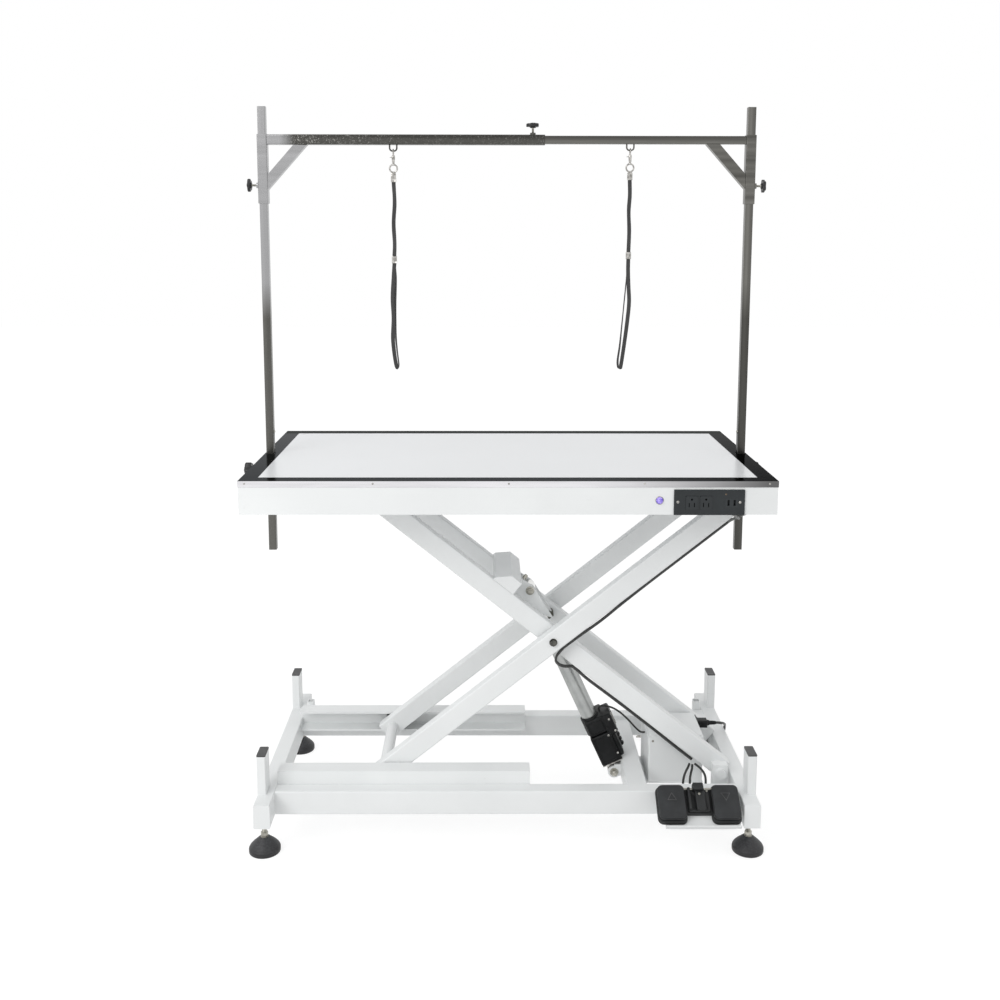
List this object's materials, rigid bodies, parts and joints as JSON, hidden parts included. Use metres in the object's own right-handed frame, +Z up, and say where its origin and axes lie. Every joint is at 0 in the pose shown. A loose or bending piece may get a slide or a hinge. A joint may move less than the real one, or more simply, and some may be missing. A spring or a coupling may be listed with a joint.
{
  "type": "electric grooming table",
  "caption": "Electric scissor lift grooming table with a lit flush top, foot pedals, levelling feet and an overhead bar that holds strap nooses",
  "frame": {"origin": "on the floor under the middle of the table, lift raised", "axes": "+X to the right along the top's length, +Y to the back, +Z up"},
  "size_m": [1.3426, 0.7285, 1.836],
  "materials": {
    "white_coat": "smooth satin powder coat",
    "polished_steel": "polished stainless tube",
    "border_steel": "dark polished border",
    "lit_panel": "opal acrylic light panel",
    "black_plastic": "moulded black plastic",
    "grey_plastic": "moulded end cap",
    "panel_plastic": "smooth dark panel",
    "pedal_plastic": "textured pedal cover",
    "foot_rubber": "moulded rubber foot",
    "roller_nylon": "turned nylon",
    "actuator_metal": "drawn tube",
    "rod_metal": "ground rod",
    "zinc": "zinc plated",
    "cable_jacket": "matt cable jacket",
    "strap_web": "woven strap",
    "button_violet": "lit button",
    "nickel": "nickel plated"
  },
  "bodies": {
    "base": {"long_rails": "white_coat", "side_frames": "white_coat", "cross_beam": "white_coat", "lower_tracks": "white_coat", "post_caps": "grey_plastic", "pivot_brackets": "white_coat", "actuator_bracket": "white_coat", "control_box": "white_coat", "box_connectors": "black_plastic", "pedal_tray": "white_coat", "pedal_base": "black_plastic", "base_cables": "cable_jacket", "motor_cable": "cable_jacket", "power_cord": "cable_jacket", "power_cord_coil": "cable_jacket", "iec_plug": "black_plastic", "mains_plug": "black_plastic"},
    "inner_arms": {"inner_arms": "white_coat", "lever_bracket": "white_coat", "inner_arm_cable": "cable_jacket"},
    "outer_arms": {"outer_arms": "white_coat", "spreader_tube": "white_coat", "pivot_bolts": "zinc", "outer_arm_cable": "cable_jacket", "cable_bend": "cable_jacket"},
    "tabletop": {"top_panel": "lit_panel", "top_trim": "border_steel", "apron": "white_coat", "under_frame": "white_coat", "upper_tracks": "white_coat", "outlet_panel": "panel_plastic", "sockets": "black_plastic", "table_leads": "cable_jacket"},
    "actuator": {"gear_housing": "black_plastic", "actuator_tubes": "actuator_metal"},
    "actuator_rod": {"actuator_rod": "rod_metal"},
    "crossbar": {"outer_bar": "polished_steel", "inner_bar": "polished_steel"},
    "left_noose": {"snap_left": "nickel", "strap_left": "strap_web"},
    "right_noose": {"snap_right": "nickel", "strap_right": "strap_web"},
    "foot_front_left": {"foot_front_left": "foot_rubber"},
    "foot_front_right": {"foot_front_right": "foot_rubber"},
    "foot_back_left": {"foot_back_left": "foot_rubber"},
    "foot_back_right": {"foot_back_right": "foot_rubber"},
    "lower_roller_front": {"lower_roller_front": "roller_nylon"},
    "lower_roller_back": {"lower_roller_back": "roller_nylon"},
    "upper_roller_front": {"upper_roller_front": "roller_nylon"},
    "upper_roller_back": {"upper_roller_back": "roller_nylon"},
    "power_button": {"power_button": "button_violet"},
    "clamp_knob_left": {"clamp_knob_left": "black_plastic"},
    "clamp_knob_right": {"clamp_knob_right": "black_plastic"},
    "left_post": {"left_post": "polished_steel"},
    "right_post": {"right_post": "polished_steel"},
    "top_knob": {"top_knob": "black_plastic"},
    "left_knob": {"left_knob": "black_plastic"},
    "right_knob": {"right_knob": "black_plastic"},
    "pedal_up": {"pedal_up": "pedal_plastic"},
    "pedal_down": {"pedal_down": "pedal_plastic"}
  },
  "joints": [
    {"name": "lift", "type": "hinge", "parent": "base", "child": "inner_arms", "pos_m": [0.545, -0.024, 0.166], "axis": [0, 1, 0], "range_deg": [-30.6, 0], "deforming": ["base_cables"]},
    {"name": "arms_cross", "type": "hinge", "parent": "inner_arms", "child": "outer_arms", "pos_m": [0.11714, -0.024, 0.51], "axis": [0, 1, 0], "range_deg": [0, 61.2], "deforming": ["cable_bend"]},
    {"name": "table_level", "type": "hinge", "parent": "outer_arms", "child": "tabletop", "pos_m": [0.545, -0.024, 0.854], "axis": [0, 1, 0], "range_deg": [-30.6, 0], "deforming": ["table_leads"]},
    {"name": "actuator_pivot", "type": "hinge", "parent": "base", "child": "actuator", "pos_m": [0.288, -0.04, 0.112], "axis": [0, 1, 0], "range_deg": [-40.24, 0], "deforming": ["motor_cable"]},
    {"name": "actuator_stroke", "type": "slide", "parent": "actuator", "child": "actuator_rod", "axis": [-0.4126, 0, 0.9109], "range_m": [-0.1197, 0]},
    {"name": "foot_front_left_turn", "type": "hinge", "parent": "base", "child": "foot_front_left", "pos_m": [-0.602, -0.248, 0.1], "axis": [0, 0, 1], "continuous": true},
    {"name": "foot_front_right_turn", "type": "hinge", "parent": "base", "child": "foot_front_right", "pos_m": [0.602, -0.248, 0.1], "axis": [0, 0, 1], "continuous": true},
    {"name": "foot_back_left_turn", "type": "hinge", "parent": "base", "child": "foot_back_left", "pos_m": [-0.602, 0.296, 0.1], "axis": [0, 0, 1], "continuous": true},
    {"name": "foot_back_right_turn", "type": "hinge", "parent": "base", "child": "foot_back_right", "pos_m": [0.602, 0.296, 0.1], "axis": [0, 0, 1], "continuous": true},
    {"name": "lower_roller_front_spin", "type": "hinge", "parent": "outer_arms", "child": "lower_roller_front", "pos_m": [-0.31072, -0.187, 0.166], "axis": [0, 1, 0], "continuous": true},
    {"name": "lower_roller_back_spin", "type": "hinge", "parent": "outer_arms", "child": "lower_roller_back", "pos_m": [-0.31072, 0.139, 0.166], "axis": [0, 1, 0], "continuous": true},
    {"name": "upper_roller_front_spin", "type": "hinge", "parent": "inner_arms", "child": "upper_roller_front", "pos_m": [-0.31072, -0.086, 0.854], "axis": [0, 1, 0], "continuous": true},
    {"name": "upper_roller_back_spin", "type": "hinge", "parent": "inner_arms", "child": "upper_roller_back", "pos_m": [-0.31072, 0.038, 0.854], "axis": [0, 1, 0], "continuous": true},
    {"name": "power_button_press", "type": "slide", "parent": "tabletop", "child": "power_button", "axis": [0, 1, 0], "range_m": [0, 0.002], "stiffness_N_per_m": 300, "springref_m": -0.003},
    {"name": "pedal_up_press", "type": "hinge", "parent": "base", "child": "pedal_up", "pos_m": [0.465, -0.28152, 0.17965], "axis": [1, 0, 0], "range_deg": [0, 3], "stiffness_Nm_per_rad": 3, "springref_deg": -3.44},
    {"name": "pedal_down_press", "type": "hinge", "parent": "base", "child": "pedal_down", "pos_m": [0.465, -0.28152, 0.17965], "axis": [1, 0, 0], "range_deg": [0, 3], "stiffness_Nm_per_rad": 3, "springref_deg": -3.44},
    {"name": "left_post_slide", "type": "slide", "parent": "tabletop", "child": "left_post", "axis": [0, 0, 1], "range_m": [0, 0.19]},
    {"name": "right_post_slide", "type": "slide", "parent": "tabletop", "child": "right_post", "axis": [0, 0, 1], "range_m": [0, 0.19]},
    {"name": "crossbar_slide", "type": "slide", "parent": "left_post", "child": "crossbar", "axis": [0, 0, 1], "range_m": [-0.2, 0.06]},
    {"name": "clamp_knob_left_turn", "type": "hinge", "parent": "tabletop", "child": "clamp_knob_left", "pos_m": [-0.65, 0, 0.915], "axis": [1, 0, 0], "continuous": true},
    {"name": "clamp_knob_right_turn", "type": "hinge", "parent": "tabletop", "child": "clamp_knob_right", "pos_m": [0.65, 0, 0.915], "axis": [1, 0, 0], "continuous": true},
    {"name": "top_knob_turn", "type": "hinge", "parent": "crossbar", "child": "top_knob", "pos_m": [0.065, 0, 1.78], "axis": [0, 0, 1], "continuous": true},
    {"name": "left_knob_turn", "type": "hinge", "parent": "crossbar", "child": "left_knob", "pos_m": [-0.64, 0, 1.643], "axis": [1, 0, 0], "continuous": true},
    {"name": "right_knob_turn", "type": "hinge", "parent": "crossbar", "child": "right_knob", "pos_m": [0.64, 0, 1.643], "axis": [1, 0, 0], "continuous": true},
    {"name": "left_noose_swing", "type": "hinge", "parent": "crossbar", "child": "left_noose", "pos_m": [-0.284, 0, 1.728], "axis": [1, 0, 0], "range_deg": [-45, 45]},
    {"name": "right_noose_swing", "type": "hinge", "parent": "crossbar", "child": "right_noose", "pos_m": [0.309, 0, 1.7305], "axis": [1, 0, 0], "range_deg": [-45, 45]}
  ],
  "couplings": [
    {"joint": "arms_cross", "follows": "lift", "ratio": -2},
    {"joint": "table_level", "follows": "lift", "ratio": 1},
    {"joint": "actuator_pivot", "follows": "lift", "ratio": 1.2825},
    {"joint": "actuator_stroke", "follows": "lift", "m_per_rad": 0.2204},
    {"joint": "right_post_slide", "follows": "left_post_slide", "ratio": 1}
  ]
}
